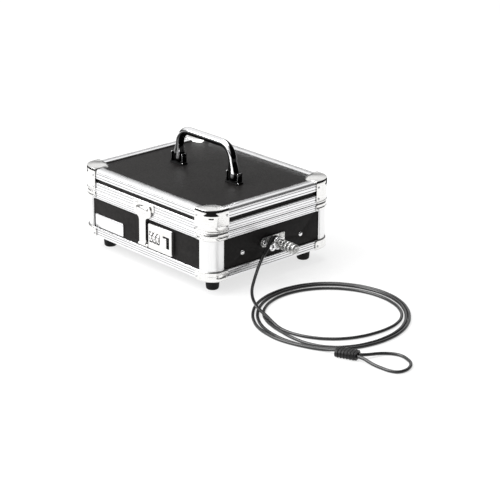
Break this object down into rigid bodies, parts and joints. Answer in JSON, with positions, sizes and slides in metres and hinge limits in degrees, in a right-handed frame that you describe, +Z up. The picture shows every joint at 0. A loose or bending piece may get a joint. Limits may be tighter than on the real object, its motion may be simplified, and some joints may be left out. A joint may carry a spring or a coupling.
{
  "type": "cash box",
  "caption": "Lockable aluminium-framed cash box with corner guards, a bail handle, a combination hasp lock, a coin tray and a coiled security cable.",
  "frame": {"origin": "middle of the footprint of the box itself, on the surface that its feet stand on", "axes": "+X towards the cable lock, -Y towards the combination lock, +Z up"},
  "size_m": [0.5624, 0.2466, 0.163],
  "materials": {
    "laminate": "fine pebbled black laminate on board",
    "aluminium": "satin extrusion with fine lengthwise ribs",
    "nickel": "bright nickel-plated pressed steel",
    "chrome": "polished chrome plate",
    "steel": "zinc-plated steel",
    "rubber": "moulded black rubber",
    "black_plastic": "moulded black plastic",
    "cable": "smoke-black vinyl coating over steel wire"
  },
  "bodies": {
    "base": {"floor_panel": "laminate", "front_wall": "laminate", "back_wall": "laminate", "left_wall": "laminate", "right_wall": "laminate", "bottom_edge": "aluminium", "base_rim": "aluminium", "label_plate": "aluminium", "corner_post_front_left": "aluminium", "corner_post_front_right": "aluminium", "corner_post_rear_left": "aluminium", "corner_post_rear_right": "aluminium", "bottom_guard_front_left": "nickel", "bottom_guard_front_right": "nickel", "bottom_guard_rear_left": "nickel", "bottom_guard_rear_right": "nickel", "rim_guard_front_left": "nickel", "rim_guard_front_right": "nickel", "rim_guard_rear_left": "nickel", "rim_guard_rear_right": "nickel", "lock_body": "nickel", "anchor_plate": "nickel", "lock_head": "nickel", "foot_front_left": "rubber", "foot_front_right": "rubber", "foot_rear_left": "rubber", "foot_rear_right": "rubber", "coin_tray": "black_plastic", "cable_swivel": "black_plastic", "crimp_sleeve": "black_plastic", "dial_spindle": "steel", "button_spring": "steel", "hasp_pin": "steel", "hinge_base_leaf": "steel", "hinge_pin": "steel", "anchor_bracket": "steel", "cable_drop": "cable", "cable_coil": "cable", "cable_eye": "cable"},
    "lid": {"lid_panel": "laminate", "lid_side": "laminate", "lid_edge": "aluminium", "lid_rim": "aluminium", "lid_guard_front_left": "nickel", "lid_guard_front_right": "nickel", "lid_guard_rear_left": "nickel", "lid_guard_rear_right": "nickel", "catch_plate": "nickel", "hinge_lid_leaf": "steel", "handle_bracket_left": "chrome", "handle_bracket_right": "chrome"},
    "handle": {"handle": "chrome"},
    "hasp": {"hasp": "nickel"},
    "slide_button": {"slide_button": "nickel"},
    "dial_1": {"dial_1": "nickel"},
    "dial_2": {"dial_2": "nickel"},
    "dial_3": {"dial_3": "nickel"},
    "lock_wheel_1": {"lock_wheel_1": "nickel"},
    "lock_wheel_2": {"lock_wheel_2": "nickel"},
    "lock_wheel_3": {"lock_wheel_3": "nickel"}
  },
  "joints": [
    {"name": "lid_hinge", "type": "hinge", "parent": "base", "child": "lid", "pos_m": [0, 0.1068, 0.082], "axis": [-1, 0, 0], "range_deg": [0, 100]},
    {"name": "handle_swing", "type": "hinge", "parent": "lid", "child": "handle", "pos_m": [0, 0, 0.1193], "axis": [1, 0, 0], "range_deg": [-85, 85]},
    {"name": "hasp_swing", "type": "hinge", "parent": "base", "child": "hasp", "pos_m": [0, -0.1053, 0.037], "axis": [1, 0, 0], "range_deg": [0, 100]},
    {"name": "button_slide", "type": "slide", "parent": "base", "child": "slide_button", "axis": [1, 0, 0], "range_m": [0, 0.004], "stiffness_N_per_m": 300, "springref_m": -0.001, "deforming": ["button_spring"]},
    {"name": "dial_1_turn", "type": "hinge", "parent": "base", "child": "dial_1", "pos_m": [0.0168, -0.1013, 0.052], "axis": [1, 0, 0], "continuous": true},
    {"name": "dial_2_turn", "type": "hinge", "parent": "base", "child": "dial_2", "pos_m": [0.0236, -0.1013, 0.052], "axis": [1, 0, 0], "continuous": true},
    {"name": "dial_3_turn", "type": "hinge", "parent": "base", "child": "dial_3", "pos_m": [0.0304, -0.1013, 0.052], "axis": [1, 0, 0], "continuous": true},
    {"name": "lock_wheel_1_turn", "type": "hinge", "parent": "base", "child": "lock_wheel_1", "pos_m": [0.14685, 0, 0.051], "axis": [1, 0, 0], "continuous": true},
    {"name": "lock_wheel_2_turn", "type": "hinge", "parent": "base", "child": "lock_wheel_2", "pos_m": [0.15295, 0, 0.051], "axis": [1, 0, 0], "continuous": true},
    {"name": "lock_wheel_3_turn", "type": "hinge", "parent": "base", "child": "lock_wheel_3", "pos_m": [0.15905, 0, 0.051], "axis": [1, 0, 0], "continuous": true}
  ]
}
